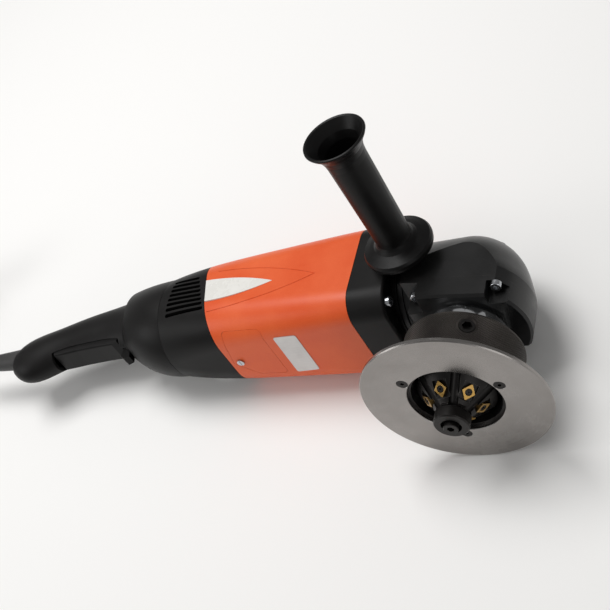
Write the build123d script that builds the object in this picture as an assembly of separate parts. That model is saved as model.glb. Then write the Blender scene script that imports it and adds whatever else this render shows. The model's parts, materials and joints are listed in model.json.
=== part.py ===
from build123d import *
import math
import os

# Hand-held edge milling machine on a two-handed angle grinder motor.
# Millimetres. The tool is drawn in its working frame: X forward along the motor,
# Z up, the spindle pointing down along -Z and crossing the motor axis at the origin.
# lay_down() then turns it onto its left side, the way it rests on a bench.

# Driving dimensions: motor body
body_half = 49.5            # half width of the square body at the front
body_rear_half = 45.6       # half width where the rear handle starts
body_front = -57.0          # front face of the body
front_seam = -90.0          # front housing meets motor housing
rear_seam = -240.5          # motor housing meets vent housing, on the motor axis
rear_seam_slope = 0.25      # the rear seam leans back towards the top
handle_seam = -290.0        # vent housing meets rear handle
wall = 3.0                  # plastic wall thickness
seam_gap = 0.25             # half width of the groove at a seam

# Driving dimensions: gear head
head_r = 51.0               # front radius of the gear head
head_rear = -42.0
head_crease = 34.0          # the flat sides end here
head_rear_half = 49.5
case_split = -26.0          # gear case above, bearing flange below
flange_bottom = -46.0
neck_r = 41.0
spigot_r = 36.0
screw_at = 34.0             # bearing flange screws, from each centre plane
body_screw_at = 38.0        # body screws, from each centre plane
handle_x = -43.3            # side handle axis
boss_y = 57.0               # right handle boss, distance from the centre plane
left_boss_y = 50.5
handle_thread_r = 7.0       # M14 handle thread

# Driving dimensions: bevel gears, apex at the origin
module = 2.0
pinion_teeth = 11
crown_teeth = 38
pinion_r = module * pinion_teeth / 2
crown_r = module * crown_teeth / 2
gear_face_scale = 0.72      # inner end of the teeth as a share of the outer end
addendum = 1.6
dedendum = 1.9

# Driving dimensions: spindle, cutter and depth guide
plate_r = 75.0
plate_hole_r = 37.9
plate_bottom = -115.4
plate_t = 4.0
plate_screw_pcr = 43.2      # pitch circle radius of the plate screws
plate_screw_turn = -20.0    # degrees
collar_r = 47.9
collar_top = -64.6
collar_bottom = -103.8
cup_r = 35.6
cup_wall_r = 37.6
web_top = -84.2
web_bottom = -90.0
sleeve_r = 32.0
sleeve_bore_r = 26.0
sleeve_bottom = -96.0
lock_screw_z = -77.7
lock_screw_turn = -64.6     # degrees
lock_screw_r = 6.0
roller_r = 14.1
roller_bottom = -138.2
roller_top = -127.5
cutter_r = 31.0
cutter_nose_r = 13.6
cutter_nose = -127.2
cutter_shoulder = -108.0
insert_count = 6
insert_turn = -100.0        # degrees, first insert
insert_side = 9.4
insert_t = 3.0
insert_hole_r = 2.9
fit = 0.05                  # running clearance on a radius

# Driving dimensions: side handle
grip_flange_r = 29.6
grip_rim_r = 25.6
grip_end = 183.1
grip_r = 16.2

# Driving dimensions: rear handle stations: x, half height, half width, centre height
shoulder_stations = (
    (handle_seam, body_rear_half, body_rear_half, 0.0),
    (-316.0, 43.0, 43.0, 1.0),
    (-340.0, 35.5, 35.5, 6.1),
)
grip_stations = (
    (-351.0, 28.5, 22.5, 7.2),
    (-372.0, 26.2, 20.2, 7.0),
    (-393.0, 24.8, 19.3, 4.2),
    (-415.0, 23.4, 18.6, 0.3),
    (-436.0, 23.2, 18.3, -5.6),
    (-457.5, 25.4, 18.2, -13.0),
    (-475.0, 23.0, 16.4, -16.9),
    (-488.5, 13.5, 10.5, -19.0),
)
trigger_front = -359.0
trigger_rear = -434.0
trigger_half = 13.0
relief_z = -12.5            # strain relief axis


def turned(points, axis="Z"):
    """Revolve an outline of (radius, height) points about Z, X or the -Y direction."""
    outline = Polyline(*[(r, 0, h) for r, h in points], close=True)
    solid = revolve(make_face(outline), Axis.Z)
    turn = {"Z": Rot(0, 0, 0), "X": Rot(0, 90, 0), "-Y": Rot(90, 0, 0)}[axis]
    return turn * solid


def ring(r_out, r_in, low, high, axis="Z"):
    return turned([(r_in, low), (r_out, low), (r_out, high), (r_in, high)], axis)


def rod(radius, low, high, axis="Z"):
    return turned([(0, low), (radius, low), (radius, high), (0, high)], axis)


def block(x0, x1, y0, y1, z0, z1):
    return Pos((x0 + x1) / 2, (y0 + y1) / 2, (z0 + z1) / 2) * Box(x1 - x0, y1 - y0, z1 - z0)


def around(item, count, axis="Z", start=0.0):
    """Copies of item turned about an axis through the origin."""
    step = 360 / count
    angles = [start + i * step for i in range(count)]
    return [(Rot(0, 0, a) if axis == "Z" else Rot(a, 0, 0)) * item for a in angles]


def corners(half_a, half_b):
    return [(a, b) for a in (-half_a, half_a) for b in (-half_b, half_b)]


def fused(items):
    items = list(items)
    return items[0].fuse(*items[1:]) if len(items) > 1 else items[0]


# Motor body: one long shape, cut into housings at its seams

def body_section(x, half, corner, inset):
    plane = Plane(origin=(x, 0, 0), x_dir=(0, 1, 0), z_dir=(1, 0, 0))
    side = 2 * (half - inset)
    return plane * RectangleRounded(side, side, corner - inset)


def body_shape(inset=0.0):
    stations = (
        (body_front, body_half - 0.1, 21.5),
        (front_seam, body_half, 21.5),
        (-165.0, body_half - 1.1, 26.0),
        (rear_seam, body_half - 2.4, 33.0),
        (handle_seam, body_rear_half, body_rear_half - 0.6),
    )
    return loft([body_section(x, h, c, inset) for x, h, c in stations])


def behind_rear_seam(shift=0.0):
    """Everything behind the leaning rear seam."""
    lean = math.degrees(math.atan(rear_seam_slope))
    big = 400.0
    slab = Pos(-big / 2, 0, 0) * Box(big, big, big)
    return Pos(rear_seam + shift, 0, 0) * Rot(0, -lean, 0) * slab


def ahead_of(x):
    return block(x, 400, -200, 200, -200, 200)


def behind(x):
    return block(-800, x, -200, 200, -200, 200)


def screw_columns(x0, x1, outer, inner):
    """Corner columns for the body screws, to fuse, and their holes, to cut."""
    solid = [Pos(0, y, z) * rod(outer, x0, x1, "X") for y, z in corners(body_screw_at, body_screw_at)]
    holes = [Pos(0, y, z) * rod(inner, x0 - 1, x1 + 1, "X")
             for y, z in corners(body_screw_at, body_screw_at)]
    return solid, holes


body_screw_r = 2.5


def front_housing(outer, inner):
    x0, x1 = front_seam + seam_gap, body_front
    shell = (outer & block(x0, x1, -60, 60, -60, 60)) - (inner & block(x0 - 5, x1 - 4, -60, 60, -60, 60))
    rim = shell.faces().sort_by(Axis.X)[-1].outer_wire().edges()
    shell = fillet(rim, 2.5)
    columns, holes = screw_columns(x0, x1 - 1, 6.0, body_screw_r + 0.1)
    shell = shell + [c & outer for c in columns]
    return shell - holes - rod(spigot_r + fit, x0 - 5, x1 + 5, "X")


def hatch_outline(grow=0.0):
    outline = Polyline((-218, -34), (-179, -34), (-179, 24), (-206, 22), (-225, 5), close=True)
    face = make_face(outline)
    face = fillet(face.vertices(), 4)
    return offset(face, grow) if grow else face


def hatch_prism(grow=0.0):
    lower = extrude(Pos(0, 0, -60) * hatch_outline(grow), 30)
    return [lower, Rot(180, 0, 0) * lower]


def lens(tip_x, half_height):
    """Prism on the right face: a lens with its middle on the rear seam."""
    half_length = tip_x - rear_seam
    radius = (half_length ** 2 + half_height ** 2) / (2 * half_height)
    shift = radius - half_height
    outline = (Pos(rear_seam, -shift) * Circle(radius)) & (Pos(rear_seam, shift) * Circle(radius))
    plane = Plane(origin=(0, 0, -4), x_dir=(1, 0, 0), z_dir=(0, -1, 0))
    return extrude(plane * outline, 70)


stator_r = 43.0
stator_x = (-182.0, -112.0)


def motor_housing(outer, inner):
    keep = block(-300, front_seam - seam_gap, -60, 60, -60, 60)
    shell = ((outer - inner) & keep) - behind_rear_seam(seam_gap)
    pads = []
    for turn in range(0, 360, 90):
        pad = block(stator_x[0], stator_x[1], -8, 8, stator_r + fit, body_half - wall + 1)
        pads.append((Rot(turn, 0, 0) * pad) & outer)
    columns, holes = screw_columns(front_seam - 22, front_seam - seam_gap, 6.0, body_screw_r + 0.1)
    shell = shell + pads + [c & outer for c in columns]
    shell = shell - holes - hatch_prism(0.35)
    groove = (lens(-126.0, 23.0) - lens(-127.6, 22.4)) & ahead_of(rear_seam + 8)
    return shell - (groove - body_shape(0.5))


def brush_covers(outer, inner):
    cover = (outer - body_shape(2.6)) & hatch_prism(0)[0]
    cover = cover - Pos(-217, 3, 0) * rod(2.0, -60, -30)
    return [cover, Rot(180, 0, 0) * cover]


def brush_cover_screws():
    screw = turned([(0, -49.6), (3.4, -49.6), (3.4, -48.2), (1.5, -47.9), (1.5, -44), (0, -44)])
    screw = Pos(-217, 3, 0.4) * (screw - block(-0.4, 0.4, -4, 4, -50, -49))
    return [screw, Rot(180, 0, 0) * screw]


def rating_label(outer):
    outline = RectangleRounded(22, 48, 2)
    return extrude(Pos(-158, -0.5, -49.1) * outline, 2) - outer


def side_emblem(outer):
    plate = lens(-169.0, 12.5) - behind_rear_seam(1.0)
    return (plate & block(-300, 0, -48.6, -40, -30, 30)) - outer


slot_count = 8
slot_w = 3.3
slot_pitch = 5.25
slot_rear = -280.5
slot_front = -246.0         # front end of a slot on the motor axis
slot_front_slope = 0.4      # the front ends step forward towards the bottom


def vent_slots():
    """Cooling slots on both flanks, longer towards the bottom."""
    slots = []
    for i in range(slot_count):
        z = -3.4 + slot_pitch * ((slot_count - 1) / 2 - i)
        front = slot_front - slot_front_slope * z
        plane = Plane(origin=((slot_rear + front) / 2, 0, z), x_dir=(1, 0, 0), z_dir=(0, -1, 0))
        bar = plane * SlotOverall(front - slot_rear, slot_w)
        slots.append(extrude(bar, 60))
        slots.append(extrude(bar, -60))
    return slots


rear_bearing_x = (-258.0, -249.0)
rear_bearing_r = 13.0
journal_r = 5.0


def vent_housing(outer, inner):
    keep = block(handle_seam + seam_gap, 0, -60, 60, -60, 60)
    rear_half = behind_rear_seam(-seam_gap)
    shell = ((outer - inner) & keep & rear_half) - vent_slots()
    seat = ring(rear_bearing_r + 4, rear_bearing_r, rear_bearing_x[0] - 2, rear_bearing_x[1] + 1, "X")
    back = ring(rear_bearing_r + 4, journal_r + 2, rear_bearing_x[0] - 4, rear_bearing_x[0] - 0.1, "X")
    spoke = block(rear_bearing_x[0] - 3, rear_bearing_x[1], -2.5, 2.5, rear_bearing_r + 2, 56)
    spokes = [s & outer & rear_half for s in around(spoke, 4, "X", 45)]
    return shell + [seat, back] + spokes


# Gear head

def head_outline():
    crease_y = math.sqrt(head_r ** 2 - head_crease ** 2)
    sides = Polyline((head_crease, crease_y), (head_rear, head_rear_half),
                     (head_rear, -head_rear_half), (head_crease, -crease_y))
    nose = ThreePointArc((head_crease, -crease_y), (head_r, 0), (head_crease, crease_y))
    return make_face(sides + nose)


def head_dome():
    """Domed top, round at the nose and drawn back to the neck."""
    curve = Spline((head_r + 0.4, 0, -22), (head_r - 3.5, 0, -3), (41.5, 0, 13), (30.5, 0, 28),
                   (18.0, 0, 38.5), (0, 0, 46.0), tangents=[(0, 0, 1), (-1, 0, 0)])
    foot = Polyline((0, 0, 46.0), (0, 0, -60), (head_r + 0.4, 0, -60), (head_r + 0.4, 0, -22))
    half = make_face(curve + foot)
    nose = revolve(half, Axis.Z)
    section = Rot(0, 0, 90) * half
    back = extrude(section, -head_rear, dir=(-1, 0, 0)) + extrude(
        Rot(0, 0, -90) * half, -head_rear, dir=(-1, 0, 0))
    return nose + back


case_cavity = [(0, case_split - 1), (42, case_split - 1), (42, -8), (36, 2), (28, 9), (10, 12), (0, 12)]
needle_r = 8.0
lock_button_x = 14.0
front_bearing_x = (-64.0, -54.0)
front_bearing_r = 16.0


def gear_case():
    head = extrude(Pos(0, 0, case_split) * head_outline(), 90) & head_dome()
    neck_profile = [(0, body_front), (neck_r, body_front), (neck_r, -53.5), (neck_r - 1.2, -53)]
    neck_profile += [(neck_r - 1.2, -51.5), (neck_r, -51), (neck_r, -48.5), (neck_r - 1.2, -48)]
    neck_profile += [(neck_r - 1.2, -46.5), (neck_r, -46), (neck_r, head_rear + 1), (0, head_rear + 1)]
    neck = turned(neck_profile, "X")
    spigot = rod(spigot_r, body_front - 9, body_front + 1, "X")
    boss = Pos(handle_x, 0, 0) * rod(13.0, 30, boss_y, "-Y")
    left_boss = Pos(handle_x, 0, 0) * rod(13.0, -left_boss_y, -30, "-Y")
    button_boss = Pos(lock_button_x, 0, 0) * rod(9.5, 10, 37.5)
    case = head + [neck, spigot, boss, left_boss, button_boss]
    case = case - turned(case_cavity) - rod(14.0, body_front - 10, -20, "X")
    case = case - rod(front_bearing_r, body_front - 10, front_bearing_x[1], "X")
    case = case - rod(needle_r, 10, 25.5)
    case = case - [Pos(handle_x, 0, 0) * rod(handle_thread_r, 33, boss_y + 1, "-Y"),
                   Pos(handle_x, 0, 0) * rod(handle_thread_r, -left_boss_y - 1, -30, "-Y")]
    case = case - [Pos(lock_button_x, 0, 0) * rod(3.0 + fit, 0, 45),
                   Pos(lock_button_x, 0, 0) * rod(7.8, 32.6, 60)]
    holes = [Pos(x, y, 0) * rod(2.5, case_split - 1, case_split + 12) for x, y in corners(screw_at, screw_at)]
    return case - holes


flange_bore_r = 17.5
lower_bearing_z = (-41.0, -30.0)
pocket = 27.5


def bearing_flange():
    plate = extrude(Pos(0, 0, flange_bottom) * head_outline(), case_split - flange_bottom)
    plate = chamfer(plate.faces().sort_by(Axis.Z)[0].outer_wire().edges(), 2.0)
    notches = []
    for x, y in corners(1, 1):
        notch = block(pocket, 70, pocket, 70, flange_bottom - 1, -31)
        notch = fillet(notch.edges().filter_by(Axis.Z).sort_by(lambda e: e.center().X + e.center().Y)[0], 3)
        notches.append(Rot(0, 0, math.degrees(math.atan2(y, x)) - 45) * notch)
    plate = plate - notches - rod(neck_r + fit, head_rear - 5, head_rear + 1, "X")
    plate = plate - rod(flange_bore_r, lower_bearing_z[0], case_split + 1) - rod(11.0, -60, -30)
    holes = [Pos(x, y, 0) * rod(2.6, -60, 0) for x, y in corners(screw_at, screw_at)]
    return plate - holes


def cap_screw(head_r, head_h, shank_r, length):
    """Socket cap screw, head up, underside of the head on Z = 0."""
    body = turned([(0, -length), (shank_r, -length), (shank_r, 0), (head_r, 0), (head_r, head_h - 0.4),
                   (head_r - 0.4, head_h), (0, head_h)])
    socket = extrude(Pos(0, 0, head_h - 0.55 * head_h) * RegularPolygon(head_r * 0.52, 6), head_h)
    return body - socket


def bearing_flange_screws():
    screw = Rot(180, 0, 0) * cap_screw(4.4, 4.6, 2.4, 14)
    return [Pos(x, y, -31.1) * screw for x, y in corners(screw_at, screw_at)]


def body_screws():
    screw = Rot(0, 90, 0) * cap_screw(4.4, 3.8, body_screw_r, 50)
    return [Pos(body_front + 0.05, y, z) * screw for y, z in corners(body_screw_at, body_screw_at)]


def lock_button():
    stem = rod(3.0, -5.0, 37.5)
    cap = fillet(rod(7.5, 36.8, 40.8).edges().sort_by(Axis.Z)[-1], 1.2)
    return Pos(lock_button_x, 0, 0) * (stem + cap)


def threaded_sleeve():
    """Polished sleeve with the depth thread below its plain index band."""
    profile = [(sleeve_bore_r, flange_bottom), (sleeve_r, flange_bottom), (sleeve_r + 2, flange_bottom - 3),
               (sleeve_r + 2, -58), (sleeve_r, -59)]
    z = -61.0
    while z > sleeve_bottom + 3:
        profile += [(sleeve_r, z), (sleeve_r - 0.8, z - 0.7), (sleeve_r - 0.8, z - 0.8), (sleeve_r, z - 1.5)]
        z -= 3.0
    profile += [(sleeve_r, sleeve_bottom), (sleeve_bore_r, sleeve_bottom)]
    sleeve = turned(profile)
    mark = Rot(0, 0, -72) * block(sleeve_r + 1.5, sleeve_r + 3, -0.4, 0.4, -59, -49.5)
    return sleeve - mark


# Depth guide

def depth_cup():
    profile = [(cup_r, plate_bottom + plate_t), (47.0, plate_bottom + plate_t), (47.0, collar_bottom - 0.3),
               (cup_wall_r, collar_bottom - 0.3), (cup_wall_r, web_top), (sleeve_r + fit, web_top),
               (sleeve_r + fit, web_bottom), (cup_r, web_bottom)]
    return turned(profile) - plate_screw_cuts(2.4)


def plate_screw_cuts(radius):
    hole = Pos(plate_screw_pcr, 0, 0) * rod(radius, plate_bottom - 1, -105)
    return around(hole, 3, "Z", plate_screw_turn)


def guide_plate():
    low, high = plate_bottom, plate_bottom + plate_t
    plate = turned([(plate_hole_r + 0.4, low), (plate_r - 0.8, low), (plate_r, low + 0.8), (plate_r, high - 0.8),
                    (plate_r - 0.8, high), (plate_hole_r, high), (plate_hole_r, low + 0.4)])
    sink = turned([(0, low - 0.1), (4.9, low - 0.1), (2.6, low + 2.4), (2.6, high + 1), (0, high + 1)])
    return plate - around(Pos(plate_screw_pcr, 0, 0) * sink, 3, "Z", plate_screw_turn)


def plate_screws():
    low = plate_bottom + 0.1
    screw = turned([(0, low), (4.6, low), (2.35, low + 2.3), (2.35, -105.2), (0, -105.2)])
    screw = screw - extrude(Pos(0, 0, low - 1) * RegularPolygon(1.7, 6), 2.8)
    return around(Pos(plate_screw_pcr, 0, 0) * screw, 3, "Z", plate_screw_turn)


def knurled_collar():
    profile = [(cup_wall_r + 0.3, collar_bottom), (collar_r - 0.8, collar_bottom), (collar_r, collar_bottom + 0.8),
               (collar_r, collar_top - 1.2), (collar_r - 1.2, collar_top), (sleeve_r + 1.6, collar_top),
               (sleeve_r + fit, collar_top - 1.6), (sleeve_r + fit, web_top + 0.3), (cup_wall_r + 0.3, web_top + 0.3)]
    collar = turned(profile)
    hole = Pos(0, 0, lock_screw_z) * rod(lock_screw_r, sleeve_r - 1, collar_r + 1, "X")
    sink = Pos(0, 0, lock_screw_z) * turned([(0, collar_r - 1.4), (lock_screw_r, collar_r - 1.4),
                                              (lock_screw_r + 2, collar_r + 0.6), (0, collar_r + 0.6)], "X")
    return collar - Rot(0, 0, lock_screw_turn) * (hole + sink)


def collar_lock_screw():
    face = collar_r - 0.8
    screw = rod(lock_screw_r - 0.05, sleeve_r + 1, face, "X")
    plane = Plane(origin=(face - 5, 0, 0), x_dir=(0, 1, 0), z_dir=(1, 0, 0))
    screw = screw - extrude(plane * RegularPolygon(4.3, 6), 8)
    return Rot(0, 0, lock_screw_turn) * Pos(0, 0, lock_screw_z) * screw


# Spindle group

def bevel_tooth(radius, distance, along):
    """One straight bevel tooth, tapering towards the apex at the origin.

    radius is the pitch radius, distance the pitch plane's distance along the gear axis.
    """
    def section(scale):
        root, tip = (radius - dedendum - 0.5) * scale, (radius + addendum) * scale
        wide, thin = 1.5 * scale, 0.5 * scale
        if along == "X":
            pts = [(-distance * scale, y, -r) for y, r in
                   ((-wide, root), (wide, root), (thin, tip), (-thin, tip))]
        else:
            root, tip = (distance + dedendum + 0.5) * scale, (distance - addendum) * scale
            pts = [(radius * scale, y, -h) for y, h in
                   ((-wide, root), (wide, root), (thin, tip), (-thin, tip))]
        return make_face(Polyline(*pts, close=True))
    return loft([section(1.0), section(gear_face_scale)], ruled=True)


def crown_gear():
    slope = (pinion_r + dedendum) / crown_r
    outer, inner = crown_r + 1.5, crown_r * gear_face_scale - 1.0
    blank = turned([(8.0 + fit, -9.0), (14, -9.0), (inner - 2, -9.0), (inner, -slope * inner),
                    (outer, -slope * outer), (outer, -18.5), (outer - 2, -20.5), (14, -20.5), (14, -23), (8.0 + fit, -23)])
    tooth = bevel_tooth(crown_r, pinion_r, "Z")
    return fused([blank] + around(tooth, crown_teeth, "Z", 180 + 180 / crown_teeth))


def pinion():
    slope = (pinion_r - dedendum) / crown_r
    outer, inner = crown_r + 0.6, crown_r * gear_face_scale - 0.4
    blank = turned([(journal_r + 0.02, -outer - 6.5), (9.5, -outer - 6.5), (9.5, -outer), (slope * outer, -outer),
                    (slope * inner, -inner), (journal_r + 0.02, -inner)], "X")
    tooth = bevel_tooth(pinion_r, crown_r, "X")
    return fused([blank] + around(tooth, pinion_teeth, "X"))


def spindle():
    shaft = turned([(0, -100), (8.0, -100), (8.0, -62), (10, -61), (10, -48), (7.5, -46), (7.5, -29.5), (10, -29),
                    (10, -23.2), (8.0, -23), (8.0, 11), (journal_r, 12), (journal_r, 24.5), (0, 24.5)])
    return shaft - rod(3.0, -101, -84)


def cutter_head():
    body = turned([(8.0 + 0.02, -63), (15, -63), (16, -64), (16, -92), (22, -97), (cutter_r, -102.5),
                   (cutter_r, cutter_shoulder), (cutter_nose_r, -125.4), (cutter_nose_r, cutter_nose),
                   (3.0 + 0.1, cutter_nose), (3.0 + 0.1, -100.3), (8.0 + 0.02, -100.3)])
    gullet = Pos(22.3, 0, -116.7) * Rot(0, 45, 0) * Cylinder(3.8, 44)
    body = body - around(gullet, insert_count, "Z", insert_turn + 30)
    seat = insert_place() * Pos(0, 0, 1.0) * Box(1.44 * insert_side + 0.8, 1.16 * insert_side + 0.8, 2 * insert_t)
    return body - around(seat & rod(60, -130, -100), insert_count, "Z", insert_turn)


def insert_place():
    """Middle of an insert seat on the 45 degree cone, local Z pointing outwards."""
    return Pos(20.8, 0, -117.6) * Rot(0, 135, 0)


def insert_tile():
    half, sharp = insert_side * 0.58, insert_side * 0.72
    outline = Polyline((sharp, 0), (0, half), (-sharp, 0), (0, -half), close=True)
    tile = extrude(Pos(0, 0, -insert_t + 1.05) * fillet(make_face(outline).vertices(), 0.6), insert_t - 0.05)
    return tile - Cylinder(insert_hole_r, 20)


def cutter_inserts():
    return around(insert_place() * insert_tile(), insert_count, "Z", insert_turn)


def insert_screws():
    head = insert_hole_r - 0.1
    screw = turned([(0, -1.95), (head, -1.95), (head, 0.2), (head - 0.4, 0.6), (0, 0.6)])
    screw = screw - extrude(Pos(0, 0, -0.4) * RegularPolygon(1.3, 6), 2)
    return around(insert_place() * screw, insert_count, "Z", insert_turn)


def guide_roller():
    low, high = roller_bottom, roller_top
    return turned([(5.0 + fit, -131.8), (8.2, -131.8), (8.2, low), (roller_r - 1, low), (roller_r, low + 1),
                   (roller_r, high - 1), (roller_r - 1, high), (5.0 + fit, high)])


def roller_bush():
    """Steel bush between the screw and the roller, clamped against the cutter nose."""
    return ring(5.0, 3.1, -131.6, cutter_nose)


washer_t = 2.0


def roller_screw():
    head_seat = -131.8 - washer_t
    return Pos(0, 0, head_seat) * Rot(180, 0, 0) * cap_screw(5.9, 7.2, 2.95, 38)


def roller_washer():
    return ring(7.4, 3.1, -131.75 - washer_t, -131.85)


# Armature group, all about X

core_r = 27.5
comm_x = (-222.0, -200.0)
comm_r = 16.0


def armature_shaft():
    return turned([(0, -261), (journal_r, -261), (journal_r, -247), (6.5, -246), (6.5, -66), (6.0, -65),
                   (6.0, -46.5), (journal_r, -46), (journal_r, -26.5), (0, -26.5)], "X")


def armature_core():
    core = ring(core_r, 6.52, *stator_x, "X")
    slot = Pos(0, 0, core_r - 1.6) * block(stator_x[0] - 1, stator_x[1] + 1, -1.0, 1.0, -1.4, 3)
    return core - around(slot, 16, "X")


def armature_windings():
    turns = []
    for x0, x1 in ((stator_x[0] - 15, stator_x[0]), (stator_x[1], stator_x[1] + 14)):
        coil = ring(24.0, 6.52, x0, x1, "X")
        turns.append(fillet(coil.edges().filter_by(GeomType.CIRCLE).sort_by(SortBy.RADIUS)[-2:], 4.5))
    return turns


def commutator():
    drum = ring(comm_r, 6.52, *comm_x, "X")
    cut = block(comm_x[0] - 1, comm_x[1] - 4, -0.3, 0.3, comm_r - 1.5, comm_r + 1)
    return drum - around(cut, 24, "X")


fan_x = (-86.0, -70.0)
fan_r = 40.0


def fan():
    x0, x1 = fan_x
    disc = turned([(6.52, x0), (12, x0), (12, x1 - 2.5), (fan_r, x1 - 2.5), (fan_r, x1), (6.52, x1)], "X")
    blade = block(x0 + 2, x1 - 2, -0.9, 0.9, 11, fan_r - 1.5)
    blade = Pos(0, 3, 0) * Rot(8, 0, 0) * blade
    return fused([disc] + around(blade, 14, "X"))


def bearing(bore, outside, x0, x1, axis):
    """Sealed ball bearing: rings with a recessed shield on both faces."""
    third = (outside - bore) / 3.2
    return turned([(bore, x0), (bore + third, x0), (bore + third, x0 + 0.6), (outside - third, x0 + 0.6),
                   (outside - third, x0), (outside, x0), (outside, x1), (outside - third, x1),
                   (outside - third, x1 - 0.6), (bore + third, x1 - 0.6), (bore + third, x1), (bore, x1)], axis)


# Stator group

coil_sides = (50, 130, 230, 310)


def stator_core():
    core = ring(stator_r, 28.3, *stator_x, "X")
    cut = block(stator_x[0] - 1, stator_x[1] + 1, -5.4, 5.4, 27, 37.4)
    return core - [Rot(a, 0, 0) * cut for a in coil_sides]


def field_coils():
    coils = []
    for middle in (90, 270):
        sides = [Rot(middle + a, 0, 0) * block(stator_x[0] - 3, stator_x[1] + 3, -5, 5, 29.5, 37)
                 for a in (-40, 40)]
        ends = []
        for x0, x1 in ((stator_x[0] - 12, stator_x[0] - 1), (stator_x[1] + 1, stator_x[1] + 12)):
            face = make_face(Polyline((x0, 0, 29.5), (x1, 0, 29.5), (x1, 0, 39.5), (x0, 0, 39.5), close=True))
            ends.append(Rot(middle - 48, 0, 0) * revolve(face, Axis.X, 96))
        coils.append(fused(sides + ends))
    return coils


def air_baffle():
    return ring(44.0, 30.0, front_seam - 8, front_seam - 5.5, "X") - [
        Pos(0, y, z) * rod(7.5, -110, -80, "X") for y, z in corners(body_screw_at, body_screw_at)]


brush_x = (-215.5, -206.5)


def mirrored_pair(item):
    return [item, Rot(180, 0, 0) * item]


def carbon_brushes():
    return mirrored_pair(block(*brush_x, -3.1, 3.1, comm_r + 0.1, 33))


def brush_holders():
    x0, x1 = brush_x
    case = block(x0 - 1.6, x1 + 1.6, -4.7, 4.7, comm_r + 3, 39)
    hollow = block(x0 - 0.2, x1 + 0.2, -3.3, 3.3, comm_r, 37.5)
    ear = block(x0 - 8, x1 + 8, -4.7, 4.7, 25, 27)
    return mirrored_pair((case + ear) - hollow)


# Side handle

def side_handle_grip():
    flange = [(7.05, 57.2), (26.0, 57.2), (29.0, 58.4), (grip_flange_r, 60.8), (grip_flange_r, 63.1), (28.4, 65.4),
              (23.0, 67.4), (19.0, 68.6), (16.6, 70.6), (15.2, 72.6), (15.0, 75.0)]
    tube = [(15.4, 100.0), (16.0, 135.0), (16.4, 160.0), (17.0, 166.0), (18.6, 171.5), (21.4, 176.0),
            (24.4, 179.6), (grip_rim_r, 181.6), (grip_rim_r - 0.2, grip_end - 0.4), (24.6, grip_end)]
    mouth = [(23.4, grip_end - 0.6), (20.6, 179.0), (17.2, 174.5), (14.6, 168.0), (13.4, 160.0), (13.0, 150.0),
             (7.05, 149.0)]
    grip = turned(flange + tube + mouth, "-Y")
    return Pos(handle_x, 0, 0) * grip


def side_handle_stud():
    return Pos(handle_x, 0, 0) * rod(handle_thread_r - 0.05, 36, 140, "-Y")


# Rear handle

def handle_section(station, inset):
    x, high, wide, z = station
    plane = Plane(origin=(x, 0, z), x_dir=(0, 1, 0), z_dir=(1, 0, 0))
    return plane * Ellipse(wide - inset, high - inset)


def handle_shape(inset=0.0):
    """Rear handle: a round shoulder, a steep step down and the curved grip."""
    shoulder = [handle_section(s, inset) for s in shoulder_stations]
    grip = [handle_section(s, inset) for s in grip_stations]
    step = loft([shoulder[-1], grip[0]], ruled=True)
    return loft(shoulder) + step + loft(grip)


trigger_pivot = (-428.0, -12.0)
lever_pivot = (-349.5, -9.0)
pin_r = 1.5
relief_hole_r = 7.0


# Handle screws: x, z and the distance of the head's seat from the centre plane
handle_screw_places = ((-322.0, -24.0, 20.0), (-322.0, 28.0, 20.0), (-380.0, 23.0, 8.0), (-458.0, -24.0, 8.0))
handle_screw_r = 1.9
handle_screw_end = 11.0     # how far the points reach into the right shell


def handle_screw_posts(outer):
    """Posts for the handle screws, to fuse, and their holes, to cut. The heads sit in the left shell."""
    posts, holes = [], []
    for x, z, seat in handle_screw_places:
        place = Pos(x, 0, z)
        posts.append((place * rod(5.4, -45, 45, "-Y")) & outer)
        holes.append(place * rod(3.8, -60, -seat, "-Y"))
        holes.append(place * rod(handle_screw_r + 0.1, -seat - 1, handle_screw_end + 1, "-Y"))
    return posts, holes


def handle_shells():
    outer = handle_shape() & behind(handle_seam - seam_gap)
    hollow = handle_shape(wall) & ahead_of(-480.0)
    posts, holes = handle_screw_posts(outer)
    shell = (outer - hollow) + posts - holes
    shell = shell - block(trigger_rear - 2.5, trigger_front + 1.5, -13.6, 13.6, -60, -4)
    shell = shell - block(trigger_front - 1, -339.0, -5.4, 5.4, -60, -4)
    shell = shell - Pos(0, 0, relief_z) * rod(relief_hole_r, -520, -470, "X")
    shell = shell - Pos(trigger_pivot[0], 0, trigger_pivot[1]) * rod(pin_r, -15.6, 15.6, "-Y")
    shell = shell - Pos(lever_pivot[0], 0, lever_pivot[1]) * rod(pin_r, -7.5, 7.5, "-Y")
    lugs = [block(-354, -345, y, y + 2.4, -23, -4.5) & outer for y in (-7.8, 5.4)]
    lugs = [g - Pos(lever_pivot[0], 0, lever_pivot[1]) * rod(pin_r, -9, 9, "-Y") for g in lugs]
    shell = shell + lugs
    right = shell & block(-600, -200, -80, 0, -80, 80)
    left = shell & block(-600, -200, 0, 80, -80, 80)
    return right, left


def handle_screws():
    screws = []
    for x, z, seat in handle_screw_places:
        screw = cap_screw(3.5, 2.6, handle_screw_r, seat + handle_screw_end)
        screws.append(Pos(x, seat + 0.02, z) * Rot(-90, 0, 0) * screw)
    return screws


def side_profile(points, half):
    """Solid bar between Y = -half and half from an outline of (x, z) points."""
    outline = Polyline(*[(x, half, z) for x, z in points], close=True)
    return extrude(make_face(outline), 2 * half, dir=(0, -1, 0))


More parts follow.
